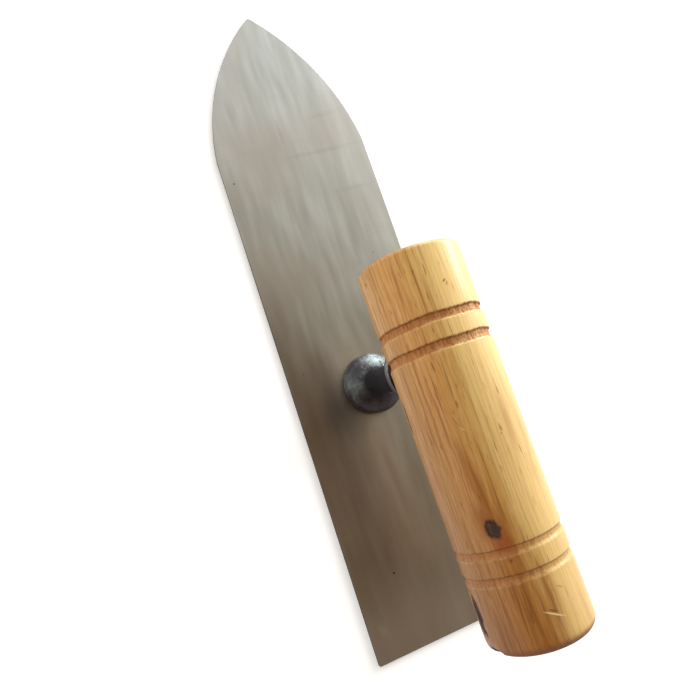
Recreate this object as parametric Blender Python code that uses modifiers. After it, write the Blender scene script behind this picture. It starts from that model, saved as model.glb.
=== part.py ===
"""Pointed plastering trowel: a thin steel blade, a cast post and a turned wooden handle.

Metres, +Z up. The blade's flat sole lies on z = 0, the tip points along +X, and the origin
is under the middle of the object's box. Five pieces: blade, sole_screw, post, handle_stud
and handle. Nothing moves, so no piece has a joint.
"""

import math

import bmesh
import bpy
from mathutils import Matrix, Vector

# Clearance left between neighbours that touch
GAP = 0.0003

# Blade: parallel sides, a square heel and a nose of two long arcs
BLADE_LENGTH = 0.290
BLADE_THICKNESS = 0.0012
HEEL_WIDTH = 0.0692
SHOULDER_WIDTH = 0.0704
NOSE_LENGTH = 0.0705
NOSE_RADIUS = 0.110
TIP_RADIUS = 0.0012
HEEL_CORNER_RADIUS = 0.0009

# Handle: a slightly tapered round bar, parallel to the blade
HANDLE_FRONT_X = -0.0107
HANDLE_LENGTH = 0.1195
HANDLE_AXIS_Z = 0.0725
HANDLE_FRONT_RADIUS = 0.0172
HANDLE_REAR_RADIUS = 0.0164
HANDLE_FRONT_EDGE = 0.0016
HANDLE_REAR_EDGE = 0.0032
# Each groove: its middle measured from the handle's front end, its width and its depth
GROOVES = (
    (0.0228, 0.0032, 0.0008),
    (0.0311, 0.0034, 0.0009),
    (0.0908, 0.0027, 0.0006),
    (0.0982, 0.0026, 0.0006),
)

# Post: a spool that leans toward the heel, domed at the foot and flanged at the top
POST_X = -0.0391
POST_LEAN = 0.09
FOOT_RADIUS = 0.0130
FOOT_RIM_HEIGHT = 0.0014
FOOT_DOME_HEIGHT = 0.0072
NECK_RADIUS = 0.0055
NECK_BASE_RADIUS = 0.0061
NECK_BASE_COVE = 0.0030
FLANGE_RADIUS = 0.0130
FLANGE_THICKNESS = 0.0028
FLANGE_CHAMFER = 0.0005
FLANGE_COVE = 0.0105
FLANGE_RECESS = 0.0008

# Fasteners: a countersunk screw up through the blade, and a stud up into the wood
SCREW_HEAD_RADIUS = 0.0057
SCREW_RADIUS = 0.0030
SCREW_TIP_Z = 0.0110
SLOT_WIDTH = 0.0014
SLOT_DEPTH = 0.0007
STUD_RADIUS = 0.0027
STUD_CORE_RADIUS = 0.0021
STUD_DEPTH_IN_POST = 0.0135
STUD_DEPTH_IN_WOOD = 0.0235
STUD_THREAD_PITCH = 0.0028
STUD_POINT = 0.0050

# How round things are drawn
HANDLE_SEGMENTS = 48
POST_SEGMENTS = 40
SCREW_SEGMENTS = 24
SHARP_ANGLE = math.radians(35.0)
MERGE_DISTANCE = 0.00001

# Heights and places that follow from the sizes above
POST_BASE_Z = BLADE_THICKNESS + GAP
SEAT_Z = HANDLE_AXIS_Z - HANDLE_FRONT_RADIUS + FLANGE_RECESS + GAP
FLANGE_TOP_Z = SEAT_Z - GAP
STUD_X = POST_X - POST_LEAN * (FLANGE_TOP_Z - POST_BASE_Z)


def clear_scene():
    """Remove everything that the file holds at the start."""
    for scene_object in list(bpy.data.objects):
        bpy.data.objects.remove(scene_object, do_unlink=True)


def make_collection(name):
    """Return a new collection in the scene."""
    collection = bpy.data.collections.new(name)
    bpy.context.scene.collection.children.link(collection)
    return collection


def make_material(name, color, roughness, metallic):
    """Return a plain Principled material."""
    material = bpy.data.materials.new(name)
    material.use_nodes = True
    shader = material.node_tree.nodes["Principled BSDF"]
    shader.inputs["Base Color"].default_value = (*color, 1.0)
    shader.inputs["Roughness"].default_value = roughness
    shader.inputs["Metallic"].default_value = metallic
    material.diffuse_color = (*color, 1.0)
    return material


def add_object(name, data, collection, material=None):
    """Put mesh or curve data into the scene under a name."""
    new_object = bpy.data.objects.new(name, data)
    collection.objects.link(new_object)
    if material is not None:
        data.materials.append(material)
    return new_object


def arc(center, radius, start, end, steps):
    """Points along an arc about center, from one angle to another, both ends included."""
    points = []
    for step in range(steps + 1):
        angle = start + (end - start) * step / steps
        points.append((center[0] + radius[0] * math.cos(angle), center[1] + radius[1] * math.sin(angle)))
    return points


def to_mesh(source, collection, material):
    """Replace an object by a plain welded mesh of its evaluated shape, in the same place."""
    name = source.name
    bpy.context.view_layer.update()
    depsgraph = bpy.context.evaluated_depsgraph_get()
    mesh = bpy.data.meshes.new_from_object(source.evaluated_get(depsgraph))
    world = source.matrix_world.copy()
    bpy.data.objects.remove(source, do_unlink=True)
    shape = bmesh.new()
    shape.from_mesh(mesh)
    bmesh.ops.remove_doubles(shape, verts=shape.verts, dist=MERGE_DISTANCE)
    shape.to_mesh(mesh)
    shape.free()
    mesh.materials.clear()
    mesh.name = name
    mesh_object = add_object(name, mesh, collection, material)
    mesh_object.matrix_world = world
    return mesh_object


def revolve(name, profile, segments, collection, material=None):
    """Turn a profile of (radius, height) points, listed from top to bottom, about Z."""
    mesh = bpy.data.meshes.new(name)
    shape = bmesh.new()
    verts = [shape.verts.new((radius, 0.0, height)) for radius, height in profile]
    for upper, lower in zip(verts, verts[1:]):
        shape.edges.new((upper, lower))
    shape.to_mesh(mesh)
    shape.free()
    section = add_object(name, mesh, collection)
    screw = section.modifiers.new("Turn", "SCREW")
    screw.axis = "Z"
    screw.angle = math.tau
    screw.steps = segments
    screw.render_steps = segments
    screw.use_merge_vertices = True
    screw.merge_threshold = MERGE_DISTANCE
    turned = to_mesh(section, collection, material)
    turned.data.shade_smooth()
    turned.data.set_sharp_from_angle(angle=SHARP_ANGLE)
    return turned


def cut(target, cutter):
    """Subtract one object from another with a Boolean modifier."""
    cutter.hide_render = True
    cutter.display_type = "WIRE"
    boolean = target.modifiers.new("Cut " + cutter.name, "BOOLEAN")
    boolean.operation = "DIFFERENCE"
    boolean.solver = "EXACT"
    boolean.object = cutter


def nose_arc_center(shoulder, tip_center):
    """Center of the long arc through the shoulder that runs smoothly into the tip's small arc."""
    reach = (tip_center - shoulder).length
    inner_radius = NOSE_RADIUS - TIP_RADIUS
    along = (NOSE_RADIUS ** 2 - inner_radius ** 2 + reach ** 2) / (2.0 * reach)
    across = math.sqrt(NOSE_RADIUS ** 2 - along ** 2)
    forward = (tip_center - shoulder) / reach
    right = Vector((forward.y, -forward.x))
    return shoulder + forward * along + right * across


def blade_half_outline():
    """Left half of the blade's outline, from the heel's middle to the tip's end on the axis."""
    heel_x = -BLADE_LENGTH / 2.0
    tip_x = BLADE_LENGTH / 2.0
    shoulder = Vector((tip_x - NOSE_LENGTH, SHOULDER_WIDTH / 2.0))
    tip_center = Vector((tip_x - TIP_RADIUS, 0.0))
    center = nose_arc_center(shoulder, tip_center)
    corner = (heel_x + HEEL_CORNER_RADIUS, HEEL_WIDTH / 2.0 - HEEL_CORNER_RADIUS)
    corner_radii = (HEEL_CORNER_RADIUS, HEEL_CORNER_RADIUS)
    nose_start = math.atan2(shoulder.y - center.y, shoulder.x - center.x)
    nose_end = math.atan2(tip_center.y - center.y, tip_center.x - center.x)
    points = arc(corner, corner_radii, math.pi, math.pi / 2.0, 4)
    points += arc(center, (NOSE_RADIUS, NOSE_RADIUS), nose_start, nose_end, 26)
    points += arc(tip_center, (TIP_RADIUS, TIP_RADIUS), nose_end, 0.0, 5)[1:]
    return points


def make_blade(collection, material):
    """Flat sheet blade: a filled outline with half its thickness on each side of its middle."""
    left = blade_half_outline()
    right = [(x, -y) for x, y in reversed(left[:-1])]
    outline = left + right
    curve = bpy.data.curves.new("blade", "CURVE")
    curve.dimensions = "2D"
    curve.fill_mode = "BOTH"
    curve.extrude = BLADE_THICKNESS / 2.0
    spline = curve.splines.new("POLY")
    spline.points.add(len(outline) - 1)
    for point, (x, y) in zip(spline.points, outline):
        point.co = (x, y, 0.0, 1.0)
    spline.use_cyclic_u = True
    sheet = add_object("blade", curve, collection)
    sheet.location = (0.0, 0.0, BLADE_THICKNESS / 2.0)
    return to_mesh(sheet, collection, material)


def post_profile():
    """Half section of the post, top to bottom, with heights above its own base."""
    top = FLANGE_TOP_Z - POST_BASE_Z
    flange_under = top - FLANGE_THICKNESS
    cove_center = (FLANGE_RADIUS - FLANGE_CHAMFER, flange_under - FLANGE_COVE)
    cove_radii = (FLANGE_RADIUS - FLANGE_CHAMFER - NECK_RADIUS, FLANGE_COVE)
    dome_end = math.acos(NECK_BASE_RADIUS / FOOT_RADIUS)
    dome_top = FOOT_RIM_HEIGHT + FOOT_DOME_HEIGHT * math.sin(dome_end)
    base_cove_center = (NECK_BASE_RADIUS, dome_top + NECK_BASE_COVE)
    base_cove_radii = (NECK_BASE_RADIUS - NECK_RADIUS, NECK_BASE_COVE)
    points = [(0.0, top), (FLANGE_RADIUS - FLANGE_CHAMFER, top), (FLANGE_RADIUS, top - FLANGE_CHAMFER)]
    points.append((FLANGE_RADIUS, flange_under + FLANGE_CHAMFER))
    points += arc(cove_center, cove_radii, math.pi / 2.0, math.pi, 8)
    points += arc(base_cove_center, base_cove_radii, math.pi, math.pi * 1.5, 4)
    points += arc((0.0, FOOT_RIM_HEIGHT), (FOOT_RADIUS, FOOT_DOME_HEIGHT), dome_end, 0.0, 9)[1:]
    points += [(FOOT_RADIUS, 0.0), (0.0, 0.0)]
    return points


def make_post(collection, material):
    """Cast post: a turned spool, sheared so that its foot and flange stay level while it leans."""
    post = revolve("post", post_profile(), POST_SEGMENTS, collection, material)
    lean = Matrix.Identity(4)
    lean[0][2] = -POST_LEAN
    post.data.transform(lean)
    post.location = (POST_X, 0.0, POST_BASE_Z)
    return post


def handle_radius(distance):
    """Radius of the plain handle at a distance from its front end."""
    return HANDLE_FRONT_RADIUS + (HANDLE_REAR_RADIUS - HANDLE_FRONT_RADIUS) * distance / HANDLE_LENGTH


def groove_points(middle, width, depth, steps=6):
    """Half an ellipse sunk into the handle, from the groove's front lip to its rear lip."""
    points = []
    for step in range(steps + 1):
        angle = math.pi * (step / steps - 0.5)
        distance = middle + width / 2.0 * math.sin(angle)
        points.append((handle_radius(distance) - depth * math.cos(angle), -distance))
    return points


def handle_profile():
    """Half section of the handle with its front end at the top."""
    front_edge = (HANDLE_FRONT_EDGE, HANDLE_FRONT_EDGE)
    rear_edge = (HANDLE_REAR_EDGE, HANDLE_REAR_EDGE)
    front_center = (HANDLE_FRONT_RADIUS - HANDLE_FRONT_EDGE, -HANDLE_FRONT_EDGE)
    rear_center = (HANDLE_REAR_RADIUS - HANDLE_REAR_EDGE, HANDLE_REAR_EDGE - HANDLE_LENGTH)
    points = [(0.0, 0.0)]
    points += arc(front_center, front_edge, math.pi / 2.0, 0.0, 5)
    for middle, width, depth in GROOVES:
        points += groove_points(middle, width, depth)
    points += arc(rear_center, rear_edge, 0.0, -math.pi / 2.0, 5)
    points.append((0.0, -HANDLE_LENGTH))
    return points


def make_handle(collection, material):
    """Turned wooden bar, laid along X with its front end toward the tip."""
    handle = revolve("handle", handle_profile(), HANDLE_SEGMENTS, collection, material)
    handle.location = (HANDLE_FRONT_X, 0.0, HANDLE_AXIS_Z)
    handle.rotation_euler = (0.0, math.pi / 2.0, 0.0)
    return handle


def make_sole_screw(collection, material):
    """Countersunk screw: its head is flush with the sole and its shank stands in the post."""
    tip_chamfer = 0.0006
    profile = [
        (0.0, SCREW_TIP_Z),
        (SCREW_RADIUS - tip_chamfer, SCREW_TIP_Z),
        (SCREW_RADIUS, SCREW_TIP_Z - tip_chamfer),
        (SCREW_RADIUS, SCREW_HEAD_RADIUS - SCREW_RADIUS),
        (SCREW_HEAD_RADIUS, 0.0),
        (0.0, 0.0),
    ]
    screw = revolve("sole_screw", profile, SCREW_SEGMENTS, collection, material)
    screw.location = (POST_X, 0.0, 0.0)
    return screw


def make_handle_stud(collection, material):
    """Double-ended stud: plain in the post, coarse-threaded and pointed in the wood."""
    bottom = FLANGE_TOP_Z - STUD_DEPTH_IN_POST
    top = SEAT_Z + STUD_DEPTH_IN_WOOD
    thread_top = top - STUD_POINT
    profile = [(0.0, top), (STUD_CORE_RADIUS, thread_top)]
    turns = int((thread_top - SEAT_Z) / STUD_THREAD_PITCH)
    for turn in range(turns):
        crest = thread_top - (turn + 0.5) * STUD_THREAD_PITCH
        profile.append((STUD_RADIUS, crest))
        profile.append((STUD_CORE_RADIUS, crest - STUD_THREAD_PITCH / 2.0))
    profile += [(STUD_RADIUS, SEAT_Z), (STUD_RADIUS, bottom), (0.0, bottom)]
    stud = revolve("handle_stud", profile, SCREW_SEGMENTS, collection, material)
    stud.location = (STUD_X, 0.0, 0.0)
    return stud


def make_cylinder_cutter(name, radius, bottom, top, x, segments, collection):
    """Upright round cutter between two heights."""
    mesh = bpy.data.meshes.new(name)
    shape = bmesh.new()
    bmesh.ops.create_cone(
        shape, cap_ends=True, segments=segments, radius1=radius, radius2=radius, depth=top - bottom
    )
    shape.to_mesh(mesh)
    shape.free()
    cutter = add_object(name, mesh, collection)
    cutter.location = (x, 0.0, (top + bottom) / 2.0)
    return cutter


def make_countersink_cutter(collection):
    """Cone and bore that clear the screw by GAP, measured square to the screw's surface."""
    bore_radius = SCREW_RADIUS + GAP
    cone_radius = SCREW_HEAD_RADIUS + GAP * math.sqrt(2.0)
    below = 0.001
    profile = [
        (0.0, SCREW_TIP_Z + GAP),
        (bore_radius, SCREW_TIP_Z + GAP),
        (bore_radius, cone_radius - bore_radius),
        (cone_radius + below, -below),
        (0.0, -below),
    ]
    cutter = revolve("countersink", profile, SCREW_SEGMENTS, collection)
    cutter.location = (POST_X, 0.0, 0.0)
    return cutter


def make_slot_cutter(collection):
    """Box that cuts the driver slot across the screw's head."""
    mesh = bpy.data.meshes.new("driver_slot")
    shape = bmesh.new()
    length = 4.0 * SCREW_HEAD_RADIUS
    scale = Matrix.Diagonal((length, SLOT_WIDTH, 2.0 * SLOT_DEPTH, 1.0))
    bmesh.ops.create_cube(shape, size=1.0, matrix=scale)
    shape.to_mesh(mesh)
    shape.free()
    cutter = add_object("driver_slot", mesh, collection)
    cutter.location = (POST_X, 0.0, 0.0)
    return cutter


def build():
    clear_scene()
    trowel = make_collection("plastering_trowel")
    cutters = make_collection("cutters")

    blade_steel = make_material("blade_steel", (0.44, 0.42, 0.37), 0.38, 1.0)
    post_iron = make_material("post_iron", (0.045, 0.045, 0.050), 0.50, 0.6)
    fastener_steel = make_material("fastener_steel", (0.40, 0.40, 0.40), 0.40, 1.0)
    handle_wood = make_material("handle_wood", (0.62, 0.36, 0.16), 0.45, 0.0)

    blade = make_blade(trowel, blade_steel)
    post = make_post(trowel, post_iron)
    handle = make_handle(trowel, handle_wood)
    sole_screw = make_sole_screw(trowel, fastener_steel)
    make_handle_stud(trowel, fastener_steel)

    countersink = make_countersink_cutter(cutters)
    driver_slot = make_slot_cutter(cutters)
    stud_bore_radius = STUD_RADIUS + GAP
    stud_bottom = FLANGE_TOP_Z - STUD_DEPTH_IN_POST
    stud_top = SEAT_Z + STUD_DEPTH_IN_WOOD
    past_seat = 0.004
    post_bore = make_cylinder_cutter(
        "post_bore", stud_bore_radius, stud_bottom - GAP, FLANGE_TOP_Z + past_seat, STUD_X,
        SCREW_SEGMENTS, cutters
    )
    wood_bore = make_cylinder_cutter(
        "wood_bore", stud_bore_radius, SEAT_Z - past_seat, stud_top + GAP, STUD_X,
        SCREW_SEGMENTS, cutters
    )
    wood_seat = make_cylinder_cutter(
        "wood_seat", FLANGE_RADIUS + GAP, SEAT_Z - past_seat, SEAT_Z, STUD_X, POST_SEGMENTS, cutters
    )

    cut(blade, countersink)
    cut(post, countersink)
    cut(post, post_bore)
    cut(handle, wood_seat)
    cut(handle, wood_bore)
    cut(sole_screw, driver_slot)


build()
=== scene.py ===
# Looks for the pointed plastering trowel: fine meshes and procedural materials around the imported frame.
import math
import bpy
import numpy as np
from mathutils import Matrix, Vector


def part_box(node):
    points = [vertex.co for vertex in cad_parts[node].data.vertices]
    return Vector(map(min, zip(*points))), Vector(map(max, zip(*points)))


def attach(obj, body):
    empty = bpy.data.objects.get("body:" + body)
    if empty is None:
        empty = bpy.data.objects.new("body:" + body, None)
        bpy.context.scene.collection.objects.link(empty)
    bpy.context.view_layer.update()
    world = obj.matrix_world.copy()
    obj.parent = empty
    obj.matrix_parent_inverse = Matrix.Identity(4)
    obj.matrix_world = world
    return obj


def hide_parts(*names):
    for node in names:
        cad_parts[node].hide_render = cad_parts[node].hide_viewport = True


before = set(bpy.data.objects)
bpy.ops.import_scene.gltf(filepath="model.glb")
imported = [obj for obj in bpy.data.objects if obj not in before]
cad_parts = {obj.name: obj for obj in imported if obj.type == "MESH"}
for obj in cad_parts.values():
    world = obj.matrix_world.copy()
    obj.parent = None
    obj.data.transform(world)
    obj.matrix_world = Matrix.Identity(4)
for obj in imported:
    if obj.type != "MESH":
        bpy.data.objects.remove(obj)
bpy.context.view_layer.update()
mm = 0.001
bladeLow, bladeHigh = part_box("blade")
postLow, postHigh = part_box("post")
handleLow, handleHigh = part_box("handle")
screwLow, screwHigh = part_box("sole_screw")
studLow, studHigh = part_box("handle_stud")
screwX = (screwLow.x + screwHigh.x) / 2
studX = (studLow.x + studHigh.x) / 2
print("frame loaded:", sorted(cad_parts))


# 0 below low, 1 above high, and 3tt - 2ttt between them
def smoothStep(low, high, value):
    t = np.clip((value - low) / (high - low), 0.0, 1.0)
    return t * t * (3.0 - 2.0 * t)


# sum of cosines: whole turns of angle u plus any rate along v, each with its own phase, about -1 to 1
def waves(u, v, seed, count, turnRange, rateRange):
    rng = np.random.default_rng(seed)
    total = np.zeros(np.broadcast(u, v).shape)
    for _ in range(count):
        turns = rng.integers(turnRange[0], turnRange[1] + 1) * rng.choice((-1, 1))
        rate = rng.uniform(*rateRange)
        total += np.cos(turns * u + rate * v + rng.uniform(0.0, math.tau))
    return total / math.sqrt(count)


# points on an arc about a center, with a radius along each axis
def arcPoints(center, radii, start, end, steps):
    angle = np.linspace(start, end, steps + 1)
    return np.stack([center[0] + radii[0] * np.cos(angle), center[1] + radii[1] * np.sin(angle)], 1)


# mesh of a rows x columns grid whose columns wrap round; the end rows are poles, or the rows wrap too
def gridMesh(name, points, poles):
    rows, cols = points.shape[:2]
    if poles:
        verts = np.concatenate([points[:1, 0], points[1:-1].reshape(-1, 3), points[-1:, 0]])
        index = 1 + np.arange((rows - 2) * cols).reshape(rows - 2, cols)
        upper, lower = index[:-1], index[1:]
        first = np.stack([np.zeros(cols, int), np.roll(index[0], -1), index[0]], 1)
        last = np.stack([np.full(cols, len(verts) - 1), index[-1], np.roll(index[-1], -1)], 1)
        fans = np.concatenate([first, last])
    else:
        verts = points.reshape(-1, 3)
        upper = np.arange(rows * cols).reshape(rows, cols)
        lower = np.roll(upper, -1, 0)
        fans = np.zeros((0, 3), int)
    quads = np.stack([upper, np.roll(upper, -1, 1), np.roll(lower, -1, 1), lower], -1).reshape(-1, 4)
    triangles = np.concatenate([quads[:, :3], quads[:, [0, 2, 3]], fans])
    corner = verts[triangles]
    volume = np.einsum("ij,ij->i", corner[:, 0], np.cross(corner[:, 1], corner[:, 2])).sum()
    if volume < 0:       # turned inside out, so every face is listed the other way round
        quads, fans = quads[:, ::-1], fans[:, ::-1]
    mesh = bpy.data.meshes.new(name)
    mesh.from_pydata(verts.tolist(), [], quads.tolist() + fans.tolist())
    return mesh


# one value per grid point, put on the mesh as an attribute in the order gridMesh lists its points
def setField(mesh, name, values, poles):
    if poles:
        values = np.concatenate([values[:1, 0], values[1:-1].reshape(-1), values[-1:, 0]])
    field = mesh.attributes.new(name, "FLOAT", "POINT")
    field.data.foreach_set("value", values.reshape(-1).astype(np.float32))


# profile of (radius, height, axis x) rows turned about an upright axis that may shift along x from row to row
def turnedGrid(profile, segments):
    angle = np.linspace(0.0, math.tau, segments, endpoint=False)
    radius, height, axisX = profile[:, :1], profile[:, 1:2], profile[:, 2:3]
    return np.stack([axisX + radius * np.cos(angle), radius * np.sin(angle), height + 0.0 * angle], -1)


# object linked into the scene
def newObject(name, data):
    made = bpy.data.objects.new(name, data)
    bpy.context.scene.collection.objects.link(made)
    return made


# mesh as a finished piece: smooth but for edges past an angle, on the root body, in its CAD node's stead
def addPiece(name, mesh, material, nodeName, sharpAngle=35.0):
    mesh.validate()
    mesh.shade_smooth()
    mesh.set_sharp_from_angle(angle=math.radians(sharpAngle))
    piece = newObject(name, mesh)
    mesh.materials.append(material)
    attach(piece, "root")
    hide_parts(nodeName)
    return piece


# cut one closed mesh away from another, and keep the result as a plain mesh
def carve(mesh, cutters):
    body = newObject("carveBody", mesh)
    tools = []
    for cutterMesh in cutters:
        tool = newObject("carveTool", cutterMesh)
        cut = body.modifiers.new("cut", "BOOLEAN")
        cut.operation = "DIFFERENCE"
        cut.solver = "EXACT"
        cut.object = tool
        tools.append(tool)
    bpy.context.view_layer.update()
    result = bpy.data.meshes.new_from_object(body.evaluated_get(bpy.context.evaluated_depsgraph_get()))
    for used in [body] + tools:
        bpy.data.objects.remove(used, do_unlink=True)
    return result


# closed round bar between two heights, for cutting
def barMesh(radius, low, high, x, segments):
    profile = np.array([[0, high, x], [radius, high, x], [radius, low, x], [0, low, x]], float)
    return gridMesh("bar", turnedGrid(profile, segments), True)


# material with one Principled shader
def newMaterial(name):
    material = bpy.data.materials.new(name)
    material.use_nodes = True
    tree = material.node_tree
    tree.nodes.clear()
    shader = tree.nodes.new("ShaderNodeBsdfPrincipled")
    output = tree.nodes.new("ShaderNodeOutputMaterial")
    tree.links.new(shader.outputs[0], output.inputs[0])
    return material, tree, shader


# a finish's three-number colors, each with an alpha of 1
def shadesOf(finish):
    return {name: (*value, 1) for name, value in finish.items() if type(value) is tuple and len(value) == 3}


# put a value or a link on an input
def feed(tree, socket, source):
    if isinstance(source, bpy.types.NodeSocket):
        tree.links.new(source, socket)
    elif source is not None:
        socket.default_value = source


# feed many inputs of a node by name; a plain number goes on the socket itself
def feedAll(tree, node, sources):
    for name, source in sources.items():
        feed(tree, node.inputs[name], source)


# one step of arithmetic on values or links
def mathNode(tree, operation, first, second=None, third=None, clamp=False):
    node = tree.nodes.new("ShaderNodeMath")
    node.operation = operation
    node.use_clamp = clamp
    for socket, source in zip(node.inputs, (first, second, third)):
        feed(tree, socket, source)
    return node.outputs[0]


# product
def times(tree, first, second, clamp=False):
    return mathNode(tree, "MULTIPLY", first, second, clamp=clamp)


# first less second
def minus(tree, first, second, clamp=False):
    return mathNode(tree, "SUBTRACT", first, second, clamp=clamp)


# value times factor, plus added
def timesPlus(tree, value, factor, added):
    return mathNode(tree, "MULTIPLY_ADD", value, factor, added)


# one step of arithmetic on vectors, whose result is a number for a length or a dot product
def vectorNode(tree, operation, first, second=None):
    node = tree.nodes.new("ShaderNodeVectorMath")
    node.operation = operation
    feed(tree, node.inputs[0], first)
    feed(tree, node.inputs[1], second)
    return node.outputs[1 if operation in ("LENGTH", "DOT_PRODUCT") else 0]


# x, y and z of a vector
def splitNode(tree, vector):
    node = tree.nodes.new("ShaderNodeSeparateXYZ")
    feed(tree, node.inputs[0], vector)
    return node.outputs


# first color moved toward the second by a factor from 0 to 1
def mixColor(tree, factor, first, second, blend="MIX"):
    node = tree.nodes.new("ShaderNodeMix")
    node.data_type = "RGBA"
    node.blend_type = blend
    feed(tree, node.inputs["Factor"], factor)
    feed(tree, node.inputs[6], first)
    feed(tree, node.inputs[7], second)
    return node.outputs[2]


# value moved from one range to another, held at the ends
def remap(tree, value, fromLow, fromHigh, toLow=0.0, toHigh=1.0, smooth=True):
    node = tree.nodes.new("ShaderNodeMapRange")
    node.interpolation_type = "SMOOTHSTEP" if smooth else "LINEAR"
    node.clamp = True
    for socket, source in zip(node.inputs, (value, fromLow, fromHigh, toLow, toHigh)):
        feed(tree, socket, source)
    return node.outputs[0]


# "POINT" scales, turns and then moves a vector; "TEXTURE" undoes that, so it is seen from a place of its own
def place(tree, vector, location=(0, 0, 0), rotation=(0, 0, 0), scale=(1, 1, 1), kind="POINT"):
    node = tree.nodes.new("ShaderNodeMapping")
    node.vector_type = kind
    feed(tree, node.inputs["Vector"], vector)
    node.inputs["Location"].default_value = location
    node.inputs["Rotation"].default_value = rotation
    node.inputs["Scale"].default_value = scale
    return node.outputs[0]


# fractal noise, about 0.5 in its middle
def noiseNode(tree, vector, scale, detail=3.0, roughness=0.55, distortion=0.0, output="Fac"):
    node = tree.nodes.new("ShaderNodeTexNoise")
    feedAll(tree, node, {"Vector": vector, "Scale": scale, "Detail": detail, "Roughness": roughness,
                         "Distortion": distortion})
    return node.outputs[output]


# color read from stops of (position, color), straight from each stop to the next
def rampNode(tree, value, stops):
    node = tree.nodes.new("ShaderNodeValToRGB")
    elements = node.color_ramp.elements
    while len(elements) < len(stops):
        elements.new(0.5)
    for element, (position, color) in zip(elements, stops):
        element.position = position
        element.color = (*color, 1.0)
    feed(tree, node.inputs[0], value)
    return node.outputs[0]


# color moved toward each named shade in turn, by that layer's share
def layered(tree, color, shade, layers):
    for share, name in layers:
        color = mixColor(tree, share, color, shade[name])
    return color


# point in the object's own space, in metres
def objectPlace(tree):
    return tree.nodes.new("ShaderNodeTexCoord").outputs["Object"]


# value that a mesh function put on its points with setField
def fieldNode(tree, name):
    node = tree.nodes.new("ShaderNodeAttribute")
    node.attribute_name = name
    return node.outputs["Fac"]


# normal tilted by the slope of a height
def bumpNode(tree, height, strength, distance, normal=None):
    node = tree.nodes.new("ShaderNodeBump")
    feedAll(tree, node, {"Strength": strength, "Distance": distance, "Height": height, "Normal": normal})
    return node.outputs[0]


# a shared group placed in a material with its own values
def groupNode(tree, group, **values):
    node = tree.nodes.new("ShaderNodeGroup")
    node.node_tree = group
    feedAll(tree, node, values)
    return node


# node group: its inputs start at these numbers, and None is a vector; its outputs are numbers
def newGroup(name, inputs, outputs):
    group = bpy.data.node_groups.new(name, "ShaderNodeTree")
    for label, value in inputs.items():
        kind = "NodeSocketVector" if value is None else "NodeSocketFloat"
        socket = group.interface.new_socket(name=label, in_out="INPUT", socket_type=kind)
        if value is not None:
            socket.default_value = value
    for label in outputs:
        group.interface.new_socket(name=label, in_out="OUTPUT", socket_type="NodeSocketFloat")
    entry = group.nodes.new("NodeGroupInput")
    leave = group.nodes.new("NodeGroupOutput")
    return group, entry.outputs, leave.inputs


# streaks along X: noise drawn out lengthwise, 0.5 + contrast x (noise - 0.5), and one 4.7 times finer
def makeStreakGroup():
    group, given, result = newGroup("streaks", {
        "Vector": None,
        "Across": 900.0,           # how many per metre across
        "Length": 25.0,            # how many times longer than wide
        "Contrast": 1.0,
    }, ("Broad", "Fine"))
    shrink = mathNode(group, "DIVIDE", 1.0, given["Length"])
    stretch = group.nodes.new("ShaderNodeCombineXYZ")
    for axis, amount in zip("XYZ", (shrink, 1.0, 1.0)):
        feed(group, stretch.inputs[axis], amount)
    drawn = vectorNode(group, "MULTIPLY", given["Vector"], stretch.outputs[0])
    for label, finer, detail in (("Broad", 1.0, 1.0), ("Fine", 4.7, 2.0)):
        noise = noiseNode(group, drawn, times(group, given["Across"], finer), detail, 0.6)
        spread = times(group, minus(group, noise, 0.5), given["Contrast"])
        feed(group, result[label], mathNode(group, "ADD", spread, 0.5, clamp=True))
    return group


# soft blotches at two sizes: noise below Low is 0 and above High is 1
def makeBlotchGroup():
    group, given, result = newGroup("blotches", {
        "Vector": None,
        "Scale": 60.0,             # how many per metre
        "Low": 0.4,
        "High": 0.65,
    }, ("Large", "Small"))
    for label, finer in (("Large", 1.0), ("Small", 6.3)):
        noise = noiseNode(group, given["Vector"], times(group, given["Scale"], finer), 4.0, 0.6, 0.4)
        feed(group, result[label], remap(group, noise, given["Low"], given["High"]))
    return group


# how near a point is to a flat lens: 1 in its middle, 0 outside it, where distance + ragged x noise passes 1
def makeLensGroup():
    group, given, result = newGroup("lens", {
        "Vector": None,            # already moved and scaled so that the lens has radius 1
        "Ragged": 0.2,
        "Detail": 1.5,
        "Soft": 0.3,
    }, ("Mask", "Distance"))
    away = vectorNode(group, "LENGTH", given["Vector"])
    noise = minus(group, noiseNode(group, given["Vector"], given["Detail"], 3.0), 0.5)
    uneven = timesPlus(group, noise, given["Ragged"], away)
    start = minus(group, 1.0, given["Soft"])
    feed(group, result["Mask"], remap(group, uneven, start, 1.0, 1.0, 0.0))
    feed(group, result["Distance"], uneven)
    return group


streakGroup = makeStreakGroup()
blotchGroup = makeBlotchGroup()
lensGroup = makeLensGroup()


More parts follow.
